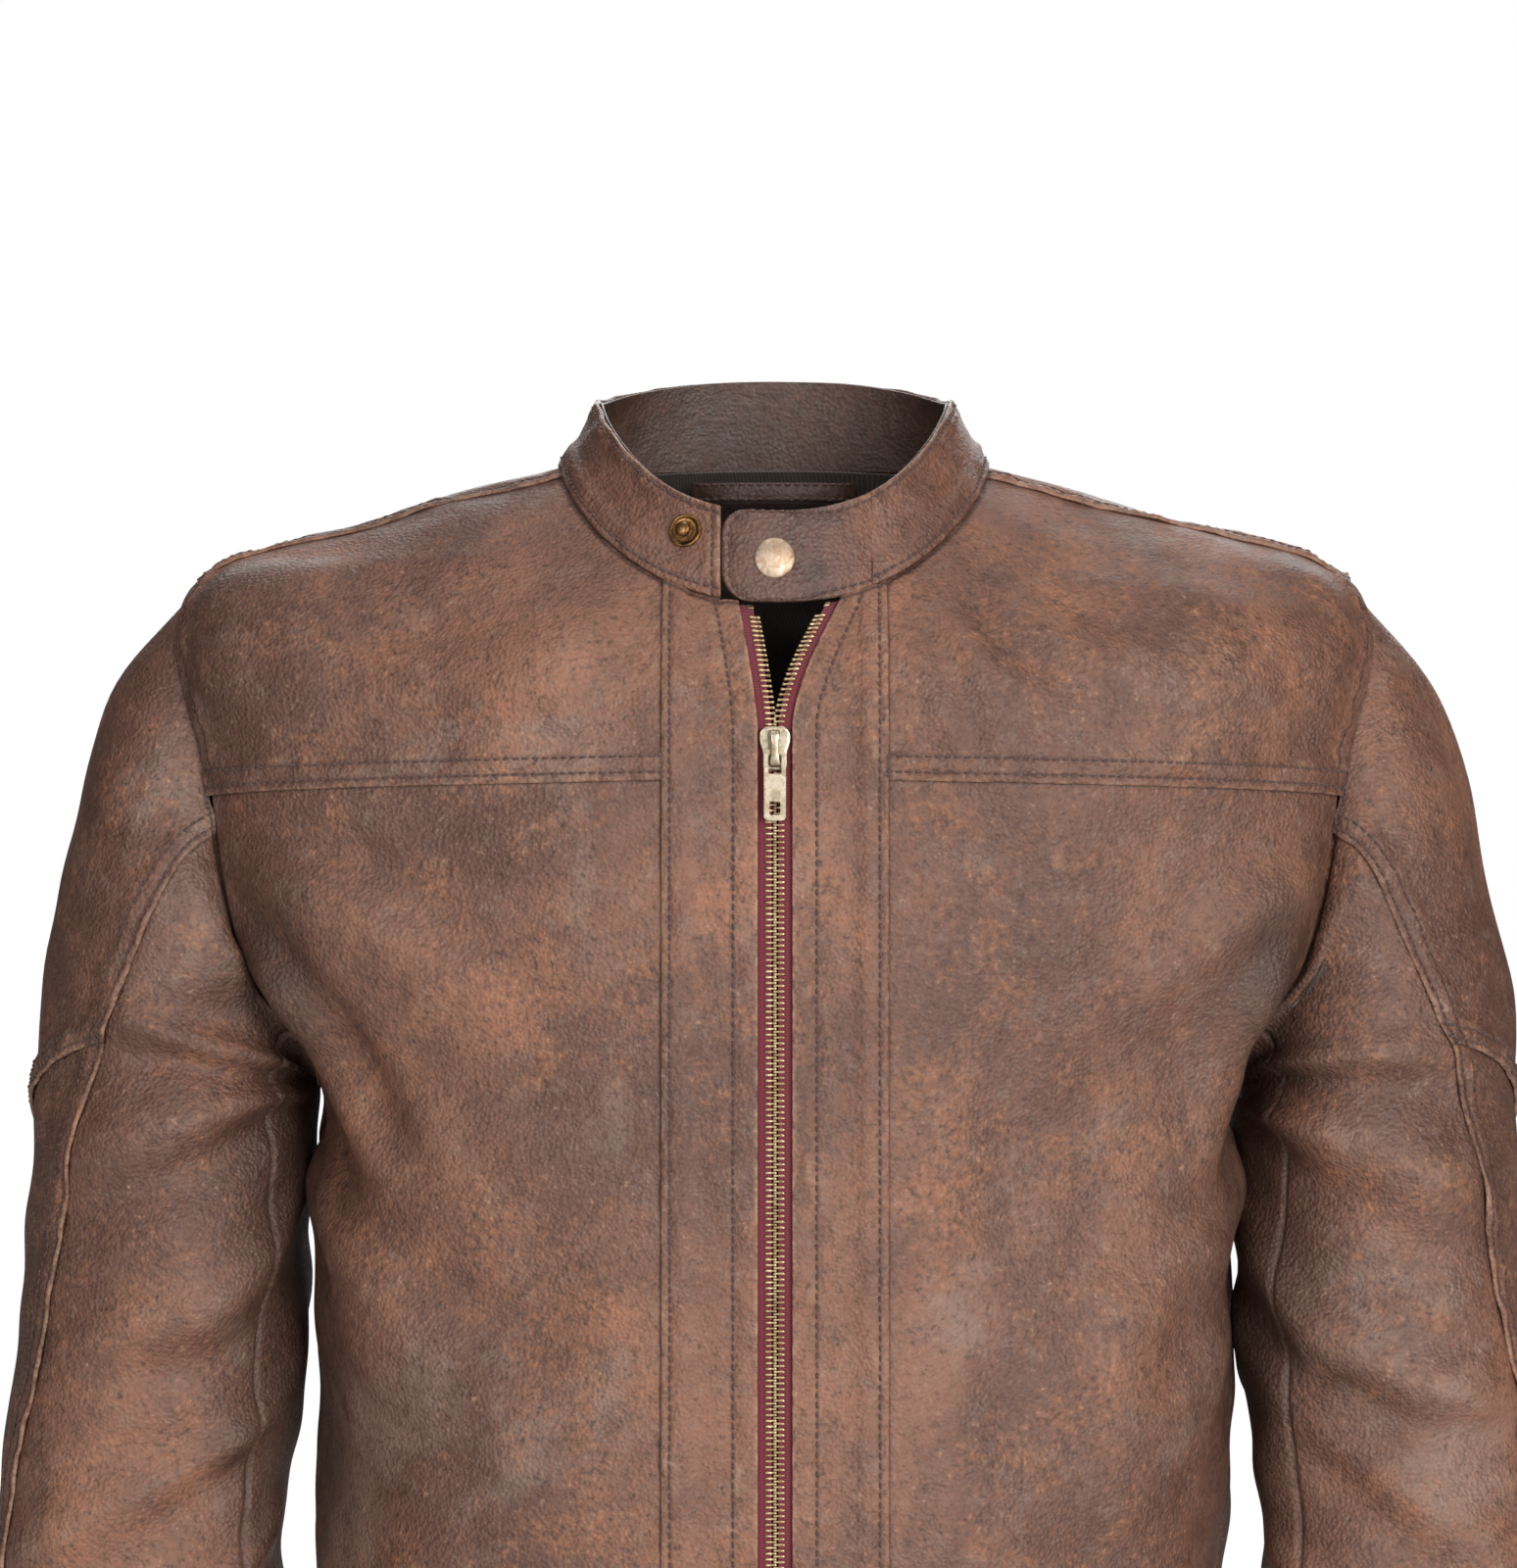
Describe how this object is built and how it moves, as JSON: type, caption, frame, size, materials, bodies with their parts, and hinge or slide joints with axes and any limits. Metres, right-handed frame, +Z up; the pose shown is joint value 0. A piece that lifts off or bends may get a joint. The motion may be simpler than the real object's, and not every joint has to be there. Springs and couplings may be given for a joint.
{
  "type": "leather riding jacket",
  "caption": "Band-collar leather riding jacket in its worn shape, with a centre zip, a press-stud collar strap, yokes, shoulder caps and zipped hand pockets",
  "frame": {"origin": "middle of the neck opening, level with the neck points of the shoulder seams", "axes": "+X to the wearer's left, -Y out of the front, +Z up"},
  "size_m": [0.61, 0.25, 0.7049],
  "materials": {
    "leather": "satin, distressed with orange-brown rubbed speckle",
    "facing_leather": "satin",
    "lining": "twill",
    "label": "woven, blank",
    "zip_tape": "woven tape",
    "antique_brass": "antique",
    "antique_nickel": "antique, polished on the high spots",
    "snap_cap_metal": "worn, with a rusty rim"
  },
  "bodies": {
    "root": {"front_panel_l": "leather", "front_panel_r": "leather", "front_yoke_l": "leather", "front_yoke_r": "leather", "placket_l": "leather", "placket_r": "leather", "back_panel": "leather", "back_yoke": "leather", "shoulder_cap_l": "leather", "shoulder_cap_r": "leather", "sleeve_outer_l": "leather", "sleeve_outer_r": "leather", "sleeve_front_l": "leather", "sleeve_front_r": "leather", "sleeve_back_l": "leather", "sleeve_back_r": "leather", "collar_outer": "leather", "collar_inner": "facing_leather", "cuff_facing_l": "facing_leather", "cuff_facing_r": "facing_leather", "hem_facing": "facing_leather", "front_facing_l": "facing_leather", "front_facing_r": "facing_leather", "lining_front_l": "lining", "lining_front_r": "lining", "lining_back": "lining", "sleeve_lining_l": "lining", "sleeve_lining_r": "lining", "hanger_loop": "facing_leather", "neck_label": "label", "zip_tape_l": "zip_tape", "zip_tape_r": "zip_tape", "zip_teeth_l": "antique_brass", "zip_teeth_r": "antique_brass", "top_stop_l": "antique_brass", "top_stop_r": "antique_brass", "retainer_box": "antique_brass", "insertion_pin": "antique_brass", "snap_stud": "antique_brass", "snap_post": "antique_brass", "pocket_welt_l": "leather", "pocket_welt_r": "leather", "pocket_zip_l": "zip_tape", "pocket_zip_r": "zip_tape", "pocket_bag_l": "lining", "pocket_bag_r": "lining"},
    "collar_strap": {"collar_tab": "leather", "snap_cap": "snap_cap_metal", "snap_socket": "antique_brass"},
    "slider": {"zip_slider": "antique_nickel"},
    "pull": {"zip_pull": "antique_nickel"},
    "pocket_slider_left": {"pocket_slider_l": "antique_nickel"},
    "pocket_pull_left": {"pocket_pull_l": "antique_nickel"},
    "pocket_slider_right": {"pocket_slider_r": "antique_nickel"},
    "pocket_pull_right": {"pocket_pull_r": "antique_nickel"}
  },
  "joints": [
    {"name": "main_zip_slide", "type": "slide", "parent": "root", "child": "slider", "axis": [0, -0.0215, -0.9998], "range_m": [0, 0.52]},
    {"name": "main_pull_swing", "type": "hinge", "parent": "slider", "child": "pull", "pos_m": [0, -0.1145, -0.11235], "axis": [-1, 0, 0], "range_deg": [0, 150]},
    {"name": "collar_strap_fold", "type": "hinge", "parent": "root", "child": "collar_strap", "pos_m": [0.03651, -0.08443, -0.03293], "axis": [0, 0.2475, 0.9689], "range_deg": [0, 150]},
    {"name": "pocket_slide_left", "type": "slide", "parent": "root", "child": "pocket_slider_left", "axis": [0.074, 0.005, -0.9972], "range_m": [0, 0.109]},
    {"name": "pocket_pull_swing_left", "type": "hinge", "parent": "pocket_slider_left", "child": "pocket_pull_left", "pos_m": [0.10378, -0.10527, -0.45383], "axis": [-0.9102, -0.4081, -0.07], "range_deg": [0, 150]},
    {"name": "pocket_slide_right", "type": "slide", "parent": "root", "child": "pocket_slider_right", "axis": [-0.074, 0.005, -0.9972], "range_m": [0, 0.109]},
    {"name": "pocket_pull_swing_right", "type": "hinge", "parent": "pocket_slider_right", "child": "pocket_pull_right", "pos_m": [-0.10378, -0.10527, -0.45383], "axis": [-0.9102, 0.4081, 0.07], "range_deg": [0, 150]}
  ]
}
